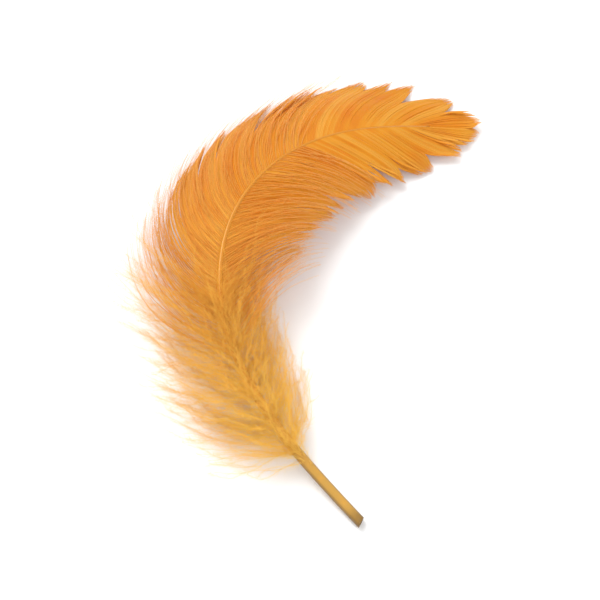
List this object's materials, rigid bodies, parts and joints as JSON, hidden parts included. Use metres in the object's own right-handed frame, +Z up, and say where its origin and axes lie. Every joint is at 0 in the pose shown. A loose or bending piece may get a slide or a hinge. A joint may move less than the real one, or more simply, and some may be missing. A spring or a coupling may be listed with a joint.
{
  "type": "goose feather",
  "caption": "Curved goose body feather lying hollow side down: cut hollow quill, fluffy down round its lower shaft and a cupped vane split into pointed locks.",
  "frame": {"origin": "centre of the feather's bounding box, on the surface that it lies on", "axes": "+Z up from the surface; +Y from the cut end of the quill towards the tip of the vane; the shaft bows out towards -X"},
  "size_m": [0.0556, 0.0832, 0.0157],
  "materials": {
    "feather": "satin",
    "vane": "satin",
    "down": "matte",
    "quill": "satin"
  },
  "bodies": {
    "root": {"feather": "feather"}
  },
  "joints": []
}
